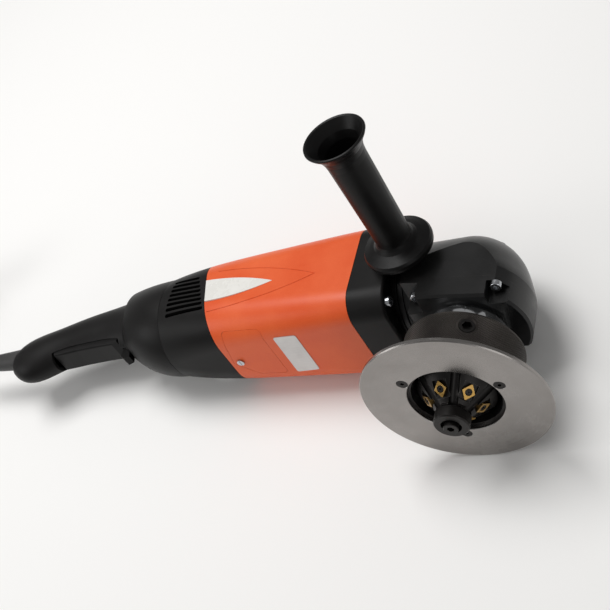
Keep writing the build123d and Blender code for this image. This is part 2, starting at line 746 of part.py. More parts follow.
def trigger():
    points = [(trigger_front, -11.0), (-419, -14.5), (-423, -8.0), (trigger_rear, -8.0), (trigger_rear, -23.5),
              (-423, -22.6), (-407, -20.8), (-383, -19.2), (-365, -18.6), (trigger_front, -16.6)]
    solid = side_profile(points, trigger_half)
    low = [e for e in solid.edges().filter_by(Axis.X, tolerance=12)
           if e.center().Z < -16 and abs(abs(e.center().Y) - trigger_half) < 0.1]
    solid = fillet(low, 3.0)
    pivot = Pos(trigger_pivot[0], 0, trigger_pivot[1])
    return solid - pivot * rod(pin_r + fit, -20, 20, "-Y")


def lock_off_lever():
    points = [(-352.5, -5.5), (-346.5, -5.5), (-346.0, -22), (-343.5, -30.5), (-348.5, -33.0), (-354, -29),
              (-353.0, -18)]
    solid = side_profile(points, 4.8)
    return solid - Pos(lever_pivot[0], 0, lever_pivot[1]) * rod(pin_r + fit, -20, 20, "-Y")


def pivot_pins():
    return [Pos(trigger_pivot[0], 0, trigger_pivot[1]) * rod(pin_r, -15.4, 15.4, "-Y"),
            Pos(lever_pivot[0], 0, lever_pivot[1]) * rod(pin_r, -7.4, 7.4, "-Y")]


def switch_block():
    body = block(-416, -368, -9, 9, -1.5, 17)
    return fillet(body.edges().filter_by(Axis.X), 1.5) + block(-396, -388, -3, 3, -3.5, -1.5)


relief_tip = -556.0
cord_r = 4.5


def strain_relief():
    profile = [(0, -474), (10.6, -474), (10.6, -488)]
    x = -522.0
    while x > relief_tip + 8:
        r = 10.6 - 4.2 * (-488 - x) / (-488 - relief_tip)
        profile += [(r, x), (r - 1.2, x - 0.2), (r - 1.2, x - 2.0), (r - 0.2, x - 2.2)]
        x -= 5.0
    profile += [(6.4, relief_tip + 1.0), (5.8, relief_tip), (0, relief_tip)]
    sleeve = turned(profile, "X")
    outside = Pos(0, 0, relief_z) * sleeve - handle_shape()
    root = Pos(0, 0, relief_z) * rod(relief_hole_r - 0.1, -500, -474, "X")
    return outside.solids().sort_by(Axis.X)[0] + root


# Resting pose on the bench, and the mains lead, drawn in the resting frame

roll = -9.23                # degrees about the motor axis
pitch = 1.49                # degrees about the cross axis


def lay_down():
    return Rot(0, -pitch, 0) * Rot(-90 + roll, 0, 0)


cord_route = (
    (-315.1, 30.5, 43.7), (-352.0, 30.5, 42.7), (-384.0, 30.0, 31.7), (-414.0, 30.6, 15.0),
    (-439.0, 31.2, 6.2), (-462.0, 32.2, 6.2),
)
tail_route = (
    (-441.6, 41.0, 35.0), (-468.4, 41.0, 40.6), (-491.6, 54.4, 42.6), (-505.0, 77.6, 42.8),
    (-505.0, 104.4, 44.6), (-491.6, 127.6, 48.4), (-468.4, 141.0, 52.6), (-446.0, 141.0, 54.2),
)
coil_centre = (-455.0, 95.0)
coil_bottom = 1.7
coil_columns = 3
coil_layers = 4
coil_mean_r = 54.0
tie_t = 1.5
plug_rear = -446.0
plug_front = -384.0


def corner_radii(points):
    """Radius of the arc at each inner point of a route."""
    points = [Vector(*p) for p in points]
    radii = []
    for before, here, after in zip(points, points[1:], points[2:]):
        turn = math.radians((here - before).get_angle(after - here))
        shorter = min((here - before).length, (after - here).length)
        radii.append(0.45 * shorter / math.tan(turn / 2))
    return radii


def lead_tube(points, name):
    radii = corner_radii(points)
    line = FilletPolyline(*points, radius=radii)
    start = Plane(origin=points[0], z_dir=Vector(*points[1]) - Vector(*points[0]))
    tube = sweep(start * Circle(cord_r), path=line)
    print(name, "radii", [round(r) for r in radii], "length", round(line.length, 1),
          "volume share", round(tube.volume / (math.pi * cord_r ** 2 * line.length), 4))
    return tube


def cord_coil():
    band = coil_columns * cord_r
    top = coil_bottom + 2 * coil_layers * cord_r
    coil = ring(coil_mean_r + band, coil_mean_r - band, coil_bottom, top)
    return Pos(*coil_centre) * fillet(coil.edges().filter_by(GeomType.CIRCLE), 3.5)


def cord_tie():
    band = coil_columns * cord_r
    low, high = coil_mean_r - band - 0.7, coil_mean_r + band + 0.2
    top = coil_bottom + 2 * coil_layers * cord_r + 0.1
    outer = block(-6, 6, low - tie_t, high + tie_t, coil_bottom - 0.1 - tie_t, top + tie_t)
    outer = fillet(outer.edges().filter_by(Axis.X), 3.0)
    inner = fillet(block(-7, 7, low, high, coil_bottom - 0.1, top).edges().filter_by(Axis.X), 2.0)
    return Pos(*coil_centre) * (outer - inner)


def plug_place():
    return Pos(0, tail_route[-1][1], tail_route[-1][2])


def plug_body():
    rear, front = plug_rear, plug_front
    profile = [(0, rear), (5.6, rear)]
    for i in range(4):
        x = rear + 2 + 5 * i
        profile += [(6.0 + 0.3 * i, x), (6.2 + 0.3 * i, x + 3), (5.2 + 0.3 * i, x + 3.2), (5.2 + 0.3 * i, x + 4.8)]
    profile += [(7.6, rear + 22), (12.6, rear + 25), (15.6, rear + 34), (16.5, rear + 44), (16.5, front - 11),
                (18.4, front - 8), (18.4, front - 1), (17.4, front), (0, front)]
    return plug_place() * turned(profile, "X")


def plug_pins():
    pin = turned([(0, plug_front), (2.4, plug_front), (2.4, plug_front + 17.5), (1.6, plug_front + 19),
                  (0, plug_front + 19)], "X")
    return [plug_place() * Pos(0, y, 0) * pin for y in (-9.5, 9.5)]


def build_lead():
    return {
        "cord_lead": lead_tube(cord_route, "lead"),
        "cord_tail": lead_tube(tail_route, "tail"),
        "cord_coil": cord_coil(),
        "cord_tie": cord_tie(),
        "plug_body": plug_body(),
        "plug_pins": plug_pins(),
    }


def build_tool():
    outer, inner = body_shape(), body_shape(wall)
    shell_right, shell_left = handle_shells()
    bearings = {
        "lower_spindle_bearing": bearing(7.5 + fit, flange_bore_r - 0.05, *lower_bearing_z, "Z"),
        "upper_spindle_bearing": bearing(journal_r + fit, needle_r - 0.05, 13.0, 25.0, "Z"),
        "front_armature_bearing": bearing(6.0 + fit, front_bearing_r - 0.05, *front_bearing_x, "X"),
        "rear_armature_bearing": bearing(journal_r + fit, rear_bearing_r - 0.05, *rear_bearing_x, "X"),
    }
    tool = {
        "front_housing": front_housing(outer, inner),
        "motor_housing": motor_housing(outer, inner),
        "vent_housing": vent_housing(outer, inner),
        "brush_covers": brush_covers(outer, inner),
        "brush_cover_screws": brush_cover_screws(),
        "rating_label": rating_label(outer),
        "side_emblem": side_emblem(outer),
        "body_screws": body_screws(),
        "gear_case": gear_case(),
        "bearing_flange": bearing_flange(),
        "bearing_flange_screws": bearing_flange_screws(),
        "spindle_lock_button": lock_button(),
        "threaded_sleeve": threaded_sleeve(),
        "depth_cup": depth_cup(),
        "guide_plate": guide_plate(),
        "plate_screws": plate_screws(),
        "knurled_collar": knurled_collar(),
        "collar_lock_screw": collar_lock_screw(),
        "spindle": spindle(),
        "crown_gear": crown_gear(),
        "cutter_head": cutter_head(),
        "cutter_inserts": cutter_inserts(),
        "insert_screws": insert_screws(),
        "guide_roller": guide_roller(),
        "roller_bush": roller_bush(),
        "roller_screw": roller_screw(),
        "roller_washer": roller_washer(),
        "armature_shaft": armature_shaft(),
        "pinion": pinion(),
        "armature_core": armature_core(),
        "armature_windings": armature_windings(),
        "commutator": commutator(),
        "fan": fan(),
        "stator_core": stator_core(),
        "field_coils": field_coils(),
        "air_baffle": air_baffle(),
        "carbon_brushes": carbon_brushes(),
        "brush_holders": brush_holders(),
        "side_handle_grip": side_handle_grip(),
        "side_handle_stud": side_handle_stud(),
        "handle_shell_right": shell_right,
        "handle_shell_left": shell_left,
        "handle_screws": handle_screws(),
        "trigger": trigger(),
        "lock_off_lever": lock_off_lever(),
        "pivot_pins": pivot_pins(),
        "switch_block": switch_block(),
        "strain_relief": strain_relief(),
    }
    tool.update(bearings)
    return tool


def as_shape(item):
    return Compound(children=[as_shape(i) for i in item]) if isinstance(item, (list, tuple)) else item


def main():
    os.makedirs("parts", exist_ok=True)
    tool = {name: lay_down() * as_shape(item) for name, item in build_tool().items()}
    boxes = [item.bounding_box() for item in tool.values()]
    low = Vector(*[min(getattr(b.min, k) for b in boxes) for k in "XYZ"])
    high = Vector(*[max(getattr(b.max, k) for b in boxes) for k in "XYZ"])
    home = Pos(-(low.X + high.X) / 2, -(low.Y + high.Y) / 2, -low.Z)
    for name, item in tool.items():
        export_step(home * item, f"parts/{name}.step")
    for name, item in build_lead().items():
        export_step(as_shape(item), f"parts/{name}.step")
    origin = home * lay_down()
    print("tool origin", origin.position, "orientation", origin.orientation)
    print("size", high - low)


if __name__ == "__main__":
    main()
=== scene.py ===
"""Visual model of a hand-held edge milling machine lying on its side, built round its CAD frame."""

import json
import logging
import math
from dataclasses import dataclass
from enum import Enum
from typing import Any, Callable, Sequence

import bmesh
import bpy
from mathutils import Matrix, Vector


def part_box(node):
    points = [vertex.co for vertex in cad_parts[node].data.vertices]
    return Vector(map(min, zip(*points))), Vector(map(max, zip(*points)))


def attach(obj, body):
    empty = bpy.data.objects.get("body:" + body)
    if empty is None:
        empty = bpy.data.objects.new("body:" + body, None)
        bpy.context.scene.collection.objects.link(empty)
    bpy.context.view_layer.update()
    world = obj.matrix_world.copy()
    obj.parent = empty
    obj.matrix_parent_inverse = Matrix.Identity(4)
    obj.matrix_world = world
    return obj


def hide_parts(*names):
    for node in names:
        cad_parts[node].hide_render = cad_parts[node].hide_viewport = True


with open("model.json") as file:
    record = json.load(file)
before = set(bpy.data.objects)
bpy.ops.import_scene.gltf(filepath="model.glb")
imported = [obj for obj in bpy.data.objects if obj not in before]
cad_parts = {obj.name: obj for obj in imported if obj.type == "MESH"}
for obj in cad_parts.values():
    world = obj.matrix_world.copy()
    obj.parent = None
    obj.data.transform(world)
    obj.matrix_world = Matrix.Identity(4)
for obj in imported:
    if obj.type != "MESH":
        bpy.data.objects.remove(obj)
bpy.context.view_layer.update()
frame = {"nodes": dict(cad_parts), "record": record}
LOG = logging.getLogger("edge_miller")
MM = 0.001

Point = Sequence[float]
Socket = bpy.types.NodeSocket


# Shared tools

def linear(code: str) -> tuple[float, float, float, float]:
    """Turn an sRGB hex colour into a linear RGBA value.

    Args:
        code: Colour such as "#D95B2B".

    Returns:
        Linear red, green, blue and an alpha of one.
    """
    parts = [int(code[i:i + 2], 16) / 255 for i in (1, 3, 5)]
    lin = [p / 12.92 if p <= 0.04045 else ((p + 0.055) / 1.055) ** 2.4 for p in parts]
    return (lin[0], lin[1], lin[2], 1.0)


def add_node(tree: bpy.types.NodeTree, kind: str, settings: dict[str, Any] | None = None,
             inputs: dict[Any, Any] | None = None,
             stops: Sequence[tuple[float, Any]] = ()) -> bpy.types.Node:
    """Add a node with its settings, its links or values, and the stops of its ramp.

    Args:
        tree: Tree that gets the node.
        kind: Node type name.
        settings: Properties of the node.
        inputs: Value or source socket for each input, by name or number.
        stops: Position and colour of each ramp stop.

    Returns:
        The new node.
    """
    node = tree.nodes.new(kind)
    for name, value in (settings or {}).items():
        setattr(node, name, value)
    for key, value in (inputs or {}).items():
        if isinstance(value, Socket):
            tree.links.new(value, node.inputs[key])
        else:
            node.inputs[key].default_value = value
    if stops:
        ramp = node.color_ramp
        while len(ramp.elements) < len(stops):
            ramp.elements.new(1.0)
        for element, (place, colour) in zip(ramp.elements, stops):
            element.position = place
            element.color = colour
    return node


@dataclass(frozen=True)
class ToolFrame:
    """Where the tool's own axes lie: X along the motor, Z up the spindle."""

    origin: Vector
    x: Vector
    z: Vector

    @classmethod
    def from_record(cls) -> "ToolFrame":
        """Read the two main axes from the joints and take the point where they cross.

        Returns:
            The tool's frame.
        """
        joints = {j["name"]: j for j in frame["record"]["behaviour"]["joints"]}
        motor, spindle = joints["armature_spin"], joints["spindle_spin"]
        x, z = Vector(motor["axis"]).normalized(), Vector(spindle["axis"]).normalized()
        gap = Vector(spindle["pos_m"]) - Vector(motor["pos_m"])
        return cls(Vector(motor["pos_m"]) + x * gap.dot(x), x, z)

    @property
    def matrix(self) -> Matrix:
        """Matrix from the tool's axes, in metres, to the row frame.

        Returns:
            Rigid transform.
        """
        y = self.z.cross(self.x).normalized()
        turn = Matrix((self.x, y, self.z)).transposed().to_4x4()
        return Matrix.Translation(self.origin) @ turn

    def place(self, x: float, y: float, z: float) -> Vector:
        """Point of the tool frame, in millimetres, as a row frame point in metres."""
        return self.matrix @ (Vector((x, y, z)) * MM)


TOOL = ToolFrame.from_record()


# Finishes

class Surface(Enum):
    """How a surface was made."""

    SPARKED = "spark-eroded mould grain"
    CAST = "powder coat over a casting"
    TURNED = "lathe rings about the spindle"
    ROLLED = "straight rolling lines"
    STACKED = "edges of stacked sheets along the motor"
    WOVEN = "plain weave"


@dataclass(frozen=True)
class Finish:
    """One real material with the way its surface was made.

    Sizes are in millimetres and turn into texture scales in the material.
    """

    name: str
    dark: str
    light: str
    rough: tuple[float, float]
    surface: Surface
    grain: float
    relief: float
    metallic: float = 0.0
    ior: float = 1.5
    worn: str = ""
    worn_width: float = 0.5
    worn_amount: float = 0.5
    cloud: float = 40.0
    coat: float = 0.0
    sheen: float = 0.0
    anisotropy: float = 0.0
    # Strength of a grey film on upward faces: dust, and a painted highlight on the lit tops.
    dust_and_top_highlight: float = 0.0
    specular: float = 0.5

    def coordinates(self, tree: bpy.types.NodeTree) -> Socket:
        """Object coordinates, turned into the tool's own axes where the surface has a direction.

        Args:
            tree: Material tree.

        Returns:
            Socket with the coordinates in metres.
        """
        coords = add_node(tree, "ShaderNodeTexCoord").outputs["Object"]
        if self.surface in (Surface.SPARKED, Surface.CAST):
            return coords
        back = TOOL.matrix.inverted()
        mapping = add_node(tree, "ShaderNodeMapping", {"vector_type": "POINT"}, {
            "Vector": coords, "Location": back.to_translation(), "Rotation": back.to_euler("XYZ")})
        return mapping.outputs["Vector"]

    def relief_height(self, tree: bpy.types.NodeTree, at: Socket) -> Socket:
        """Height pattern from zero to one for the surface grain.

        Args:
            tree: Material tree.
            at: Coordinates in metres.

        Returns:
            Socket with the pattern.
        """
        scale = 1.0 / (self.grain * MM)
        if self.surface is Surface.TURNED:
            parts = add_node(tree, "ShaderNodeSeparateXYZ", None, {0: at})
            flat = add_node(tree, "ShaderNodeCombineXYZ", None, {0: parts.outputs[0], 1: parts.outputs[1]})
            radius = add_node(tree, "ShaderNodeVectorMath", {"operation": "LENGTH"}, {0: flat.outputs[0]})
            along = add_node(tree, "ShaderNodeMath", {"operation": "MULTIPLY_ADD"}, {
                0: parts.outputs[2], 1: 1.31, 2: radius.outputs["Value"]})
            rings = add_node(tree, "ShaderNodeTexNoise", {"noise_dimensions": "1D"}, {
                "W": along.outputs[0], "Scale": scale, "Detail": 3.0, "Roughness": 0.7})
            return rings.outputs[0]
        if self.surface is Surface.ROLLED:
            stretched = add_node(tree, "ShaderNodeMapping", None, {"Vector": at, "Scale": (0.03, 1.0, 1.0)})
            lines = add_node(tree, "ShaderNodeTexNoise", None, {
                "Vector": stretched.outputs[0], "Scale": scale, "Detail": 2.0})
            return lines.outputs[0]
        if self.surface is Surface.STACKED:
            sheets = add_node(tree, "ShaderNodeTexWave", {"bands_direction": "X"}, {
                "Vector": at, "Scale": scale / 3.2, "Distortion": 0.4, "Detail": 1.0})
            return sheets.outputs["Fac"]
        if self.surface is Surface.WOVEN:
            warp = add_node(tree, "ShaderNodeTexWave", {"bands_direction": "X"}, {
                "Vector": at, "Scale": scale / 3.2, "Distortion": 0.3})
            weft = add_node(tree, "ShaderNodeTexWave", {"bands_direction": "Z"}, {
                "Vector": at, "Scale": scale / 3.2, "Distortion": 0.3})
            both = add_node(tree, "ShaderNodeMath", {"operation": "MAXIMUM"}, {
                0: warp.outputs["Fac"], 1: weft.outputs["Fac"]})
            return both.outputs[0]
        detail = 2.0 if self.surface is Surface.SPARKED else 4.0
        grain = add_node(tree, "ShaderNodeTexNoise", None, {
            "Vector": at, "Scale": scale, "Detail": detail, "Roughness": 0.6})
        return grain.outputs[0]

    def wear_mask(self, tree: bpy.types.NodeTree, at: Socket) -> Socket:
        """Mask that rises on rubbed edges, broken up by handling marks.

        Args:
            tree: Material tree.
            at: Coordinates in metres.

        Returns:
            Socket with the mask, up to worn_amount.
        """
        rounded = add_node(tree, "ShaderNodeBevel", {"samples": 4}, {"Radius": self.worn_width * MM})
        plain = add_node(tree, "ShaderNodeNewGeometry")
        facing = add_node(tree, "ShaderNodeVectorMath", {"operation": "DOT_PRODUCT"}, {
            0: rounded.outputs[0], 1: plain.outputs["Normal"]})
        edge = add_node(tree, "ShaderNodeMapRange", None, {
            "Value": facing.outputs["Value"], "From Min": 0.97, "From Max": 0.80,
            "To Min": 0.0, "To Max": 1.0})
        marks = add_node(tree, "ShaderNodeTexNoise", None, {"Vector": at, "Scale": 160.0, "Detail": 3.0})
        broken = add_node(tree, "ShaderNodeMapRange", None, {
            "Value": marks.outputs[0], "From Min": 0.42, "From Max": 0.62,
            "To Min": 0.0, "To Max": self.worn_amount})
        mask = add_node(tree, "ShaderNodeMath", {"operation": "MULTIPLY"}, {
            0: edge.outputs[0], 1: broken.outputs[0]})
        return mask.outputs[0]

    def material(self) -> bpy.types.Material:
        """Build the node material, or return it when it already exists.

        Returns:
            The finish's one material.
        """
        known = bpy.data.materials.get(self.name)
        if known:
            return known
        made = bpy.data.materials.new(self.name)
        made.use_nodes = True
        tree = made.node_tree
        tree.nodes.clear()
        at = self.coordinates(tree)
        height = self.relief_height(tree, at)
        patches = add_node(tree, "ShaderNodeTexNoise", None, {
            "Vector": at, "Scale": 1.0 / (self.cloud * MM), "Detail": 4.0, "Roughness": 0.6})
        tone = add_node(tree, "ShaderNodeMath", {"operation": "MULTIPLY_ADD"}, {
            0: height, 1: 0.35, 2: patches.outputs[0]})
        colour = add_node(tree, "ShaderNodeValToRGB", None, {"Fac": tone.outputs[0]},
                          [(0.45, linear(self.dark)), (0.9, linear(self.light))]).outputs[0]
        bright = add_node(tree, "ShaderNodeMapRange", None, {
            "Value": tone.outputs[0], "From Min": 0.45, "From Max": 0.9,
            "To Min": self.rough[0], "To Max": self.rough[1]})
        if self.worn:
            mask = self.wear_mask(tree, at)
            colour = add_node(tree, "ShaderNodeMix", {"data_type": "RGBA"}, {
                0: mask, 6: colour, 7: linear(self.worn)}).outputs[2]
        # Upward faces get a pale grey film in patches: partly dust, partly a painted highlight on the lit
        # tops.
        if self.dust_and_top_highlight:
            up = add_node(tree, "ShaderNodeSeparateXYZ", None, {
                0: add_node(tree, "ShaderNodeNewGeometry").outputs["Normal"]})
            lies = add_node(tree, "ShaderNodeMapRange", None, {
                "Value": up.outputs[2], "From Min": 0.5, "From Max": 1.0, "To Min": 0.0, "To Max": self.dust_and_top_highlight})
            dust_and_highlight_film = add_node(tree, "ShaderNodeMath", {"operation": "MULTIPLY"}, {
                0: lies.outputs[0], 1: patches.outputs[0]})
            colour = add_node(tree, "ShaderNodeMix", {"data_type": "RGBA"}, {
                0: dust_and_highlight_film.outputs[0], 6: colour, 7: linear("#8F8A84")}).outputs[2]
        bump = add_node(tree, "ShaderNodeBump", None, {
            "Height": height, "Strength": 1.0, "Distance": self.relief * MM})
        values = {"Base Color": colour, "Roughness": bright.outputs[0], "Metallic": self.metallic,
                  "Normal": bump.outputs[0], "Coat Weight": self.coat, "Coat Roughness": 0.12,
                  "Sheen Weight": self.sheen, "Anisotropic": self.anisotropy,
                  "Specular IOR Level": self.specular}
        if not self.metallic:
            values["IOR"] = self.ior
        if self.anisotropy:
            away = add_node(tree, "ShaderNodeVectorMath", {"operation": "SUBTRACT"}, {
                0: add_node(tree, "ShaderNodeTexCoord").outputs["Object"], 1: TOOL.origin})
            tangent = add_node(tree, "ShaderNodeVectorMath", {"operation": "CROSS_PRODUCT"}, {
                0: away.outputs[0], 1: TOOL.z})
            values["Tangent"] = tangent.outputs[0]
        shader = add_node(tree, "ShaderNodeBsdfPrincipled", None, values)
        add_node(tree, "ShaderNodeOutputMaterial", None, {0: shader.outputs[0]})
        return made


# Glass-filled nylon moulded in a spark-eroded tool: even matt grain about half a millimetre
# across, drawn a little coarser so that it shows, and a duller shade where hands rub it.
ORANGE_NYLON = Finish("orange_glass_filled_nylon", "#DA4E15", "#E9642A", (0.34, 0.46), Surface.SPARKED,
                      0.9, 0.03, ior=1.53, worn="#EE8A63", worn_amount=0.4, cloud=70.0, dust_and_top_highlight=0.05,
                      specular=0.4)
BLACK_NYLON = Finish("black_glass_filled_nylon", "#0B0A0A", "#121111", (0.38, 0.52), Surface.SPARKED,
                     0.9, 0.035, ior=1.53, worn="#2A2A2B", worn_amount=0.6, cloud=55.0, dust_and_top_highlight=0.02,
                     specular=0.15)
GRIP_NYLON = Finish("black_nylon_polished_by_hands", "#090808", "#0F0E0E", (0.32, 0.46), Surface.SPARKED,
                    1.1, 0.025, ior=1.53, worn="#262627", worn_amount=0.5, cloud=30.0, dust_and_top_highlight=0.01,
                    specular=0.16)
# Die-cast aluminium under black powder coat: slight orange peel, bare metal where edges rub.
POWDER_COAT = Finish("black_powder_coated_casting", "#090909", "#101011", (0.28, 0.42), Surface.CAST,
                     2.2, 0.04, ior=1.5, worn="#4A4846", worn_amount=0.5, coat=0.08, cloud=35.0, dust_and_top_highlight=0.03,
                     specular=0.32)
# Black oxide on turned steel: brown-black film over fine tool rings, steel shows at the edges.
BLACK_OXIDE = Finish("black_oxide_on_turned_steel", "#1C1A19", "#2C2A29", (0.30, 0.44), Surface.TURNED,
                     0.5, 0.012, metallic=0.75, worn="#8A8783", worn_amount=0.8, worn_width=0.35, cloud=18.0)
# The same oxide on a rolled knurl: small facets break up the shine, and its colour is lifted to an even
# charcoal as a painted sheen.
KNURLED_OXIDE = Finish("black_oxide_on_knurled_steel", "#34302E", "#47433F", (0.32, 0.42), Surface.CAST,
                       1.5, 0.004, metallic=0.8, cloud=30.0)
# Bare steel faced on a lathe: mid grey, with fine rings that stretch each highlight across them.
GROUND_STEEL = Finish("surface_ground_steel_plate", "#8A8683", "#9F9B98", (0.20, 0.30), Surface.TURNED,
                      0.7, 0.010, metallic=1.0, anisotropy=0.5, worn="#C9C5C0", worn_width=0.5,
                      worn_amount=0.6, cloud=45.0)
# Chromed and polished steel: almost a mirror, so it shows hard bright and dark bands.
POLISHED_STEEL = Finish("polished_chrome_steel", "#D6D7D9", "#EBECED", (0.10, 0.20), Surface.TURNED,
                        0.8, 0.004, metallic=1.0, cloud=20.0)
# Ground bearing steel: a clean satin grey.
BEARING_STEEL = Finish("ground_bearing_steel", "#8E8F92", "#B2B3B6", (0.20, 0.34), Surface.TURNED,
                       0.6, 0.006, metallic=1.0, cloud=15.0)
# Bright zinc over steel screws: cold and shiny, brighter where a driver has rubbed it.
ZINC_PLATE = Finish("bright_zinc_plated_steel", "#A7A9AD", "#CFD1D4", (0.16, 0.34), Surface.CAST,
                    0.7, 0.01, metallic=1.0, worn="#EEEFF0", worn_width=0.25, worn_amount=0.7, cloud=6.0)
# Titanium nitride on ground carbide: a thin gold film, slightly streaked.
NITRIDED_CARBIDE = Finish("titanium_nitride_on_carbide", "#94733A", "#BF9A5C", (0.24, 0.36), Surface.CAST,
                          0.6, 0.008, metallic=1.0, worn="#F2D58B", worn_width=0.25, worn_amount=0.6,
                          cloud=6.0)
# Stacked half-millimetre sheets, drawn at 1 mm so that they show: thin dark and light lines.
LAMINATIONS = Finish("stacked_electrical_steel", "#4A4B4E", "#7C7D80", (0.35, 0.5), Surface.STACKED,
                     1.0, 0.15, metallic=1.0, cloud=10.0)
# Copper under clear varnish: red-brown, glossy, in round strands.
COPPER_WIRE = Finish("enamelled_copper_wire", "#7A3214", "#C0622C", (0.2, 0.34), Surface.STACKED,
                     1.2, 0.3, metallic=0.8, coat=0.5, cloud=12.0)
# Pressed brass sheet: warm yellow with a soft shine.
PRESSED_BRASS = Finish("pressed_brass", "#A8842F", "#CDAA58", (0.22, 0.36), Surface.CAST, 0.8, 0.01,
                       metallic=1.0, worn="#E8CF8C", worn_width=0.3, cloud=8.0)
# Pressed graphite: dull dark grey with a fine grain.
GRAPHITE = Finish("pressed_graphite", "#1B1B1D", "#2C2C2F", (0.4, 0.6), Surface.SPARKED, 0.7, 0.03, cloud=9.0)
# Aluminium foil label: satin silver with faint rolling lines.
FOIL = Finish("anodised_aluminium_foil", "#B4B3B2", "#CFCECC", (0.28, 0.42), Surface.ROLLED, 0.5, 0.01,
              metallic=0.9, cloud=30.0)
# Printed vinyl film without its print: smooth, slightly glossy off-white.
VINYL = Finish("plain_white_vinyl", "#DEDCD6", "#ECEAE5", (0.24, 0.34), Surface.CAST, 3.0, 0.01,
               ior=1.52, coat=0.2, cloud=40.0)
# Moulded rubber: deep matt black with a slight bloom.
RUBBER = Finish("moulded_black_rubber", "#0E0E0E", "#161616", (0.48, 0.66), Surface.SPARKED, 1.2, 0.04,
                ior=1.52, sheen=0.15, cloud=25.0, dust_and_top_highlight=0.10)
# Hook-and-loop strap woven from nylon yarn of about 0.6 mm, drawn at 1 mm so that it shows.
WEBBING = Finish("woven_nylon_strap", "#121214", "#2A2A2E", (0.7, 0.85), Surface.WOVEN, 1.0, 0.25,
                 sheen=0.5, cloud=12.0)


def dress(finish: Finish, *nodes: str) -> None:
    """Give CAD nodes a finish.

    Args:
        finish: Finish for every material slot of the nodes.
        nodes: Names of the nodes.
    """
    for name in nodes:
        obj = frame["nodes"][name]
        if not obj.material_slots:
            obj.data.materials.append(None)
        for slot in obj.material_slots:
            slot.link = "OBJECT"
            slot.material = finish.material()
        LOG.info("dressed %s in %s", name, finish.name)


def settle(piece: bpy.types.Object, body: str, slot: str, *nodes: str) -> None:
    """Let a new piece ride on a body and stand for CAD nodes.

    Args:
        piece: Finished object.
        body: CAD body that it moves with.
        slot: Material slot of the record. Not used.
        nodes: CAD nodes that it stands for.
    """
    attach(piece, body)
    if nodes:
        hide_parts(*nodes)
    LOG.info("built %s on %s", piece.name, body)


def mesh_piece(name: str, mesh: bpy.types.Mesh, finish: Finish | None = None) -> bpy.types.Object:
    """Put a mesh into the scene as an object at the origin.

    Args:
        name: Piece name.
        mesh: Its mesh, already in place.
        finish: Finish to append, if the mesh has none.

    Returns:
        The new object.
    """
    if finish:
        mesh.materials.append(finish.material())
    mesh.name = name
    piece = bpy.data.objects.new(name, mesh)
    bpy.context.scene.collection.objects.link(piece)
    return piece


def grown(name: str, build: Callable[[bpy.types.NodeTree], None], values: dict[str, Any]) -> bpy.types.Object:
    """Run a Geometry Nodes tree and keep its result as a plain mesh.

    Args:
        name: Piece name.
        build: Function that fills the tree.
        values: Value of each named input.

    Returns:
        The object with the plain mesh.
    """
    tree = bpy.data.node_groups.new(name + "_tree", "GeometryNodeTree")
    for label, value in values.items():
        kind = {int: "NodeSocketInt", float: "NodeSocketFloat", Vector: "NodeSocketVector",
                bpy.types.Material: "NodeSocketMaterial"}[type(value)]
        tree.interface.new_socket(label, in_out="INPUT", socket_type=kind)
    tree.interface.new_socket("Geometry", in_out="OUTPUT", socket_type="NodeSocketGeometry")
    build(tree)
    seed = bpy.data.meshes.new(name + "_seed")
    host = bpy.data.objects.new(name + "_host", seed)
    bpy.context.scene.collection.objects.link(host)
    modifier = host.modifiers.new("grow", "NODES")
    modifier.node_group = tree
    for item in tree.interface.items_tree:
        if item.in_out == "INPUT" and item.name in values:
            modifier[item.identifier] = values[item.name]
    bpy.context.view_layer.update()
    ready = host.evaluated_get(bpy.context.evaluated_depsgraph_get())
    mesh = bpy.data.meshes.new_from_object(ready)
    host.modifiers.remove(modifier)
    bpy.data.objects.remove(host)
    return mesh_piece(name, mesh)


# Camera and light

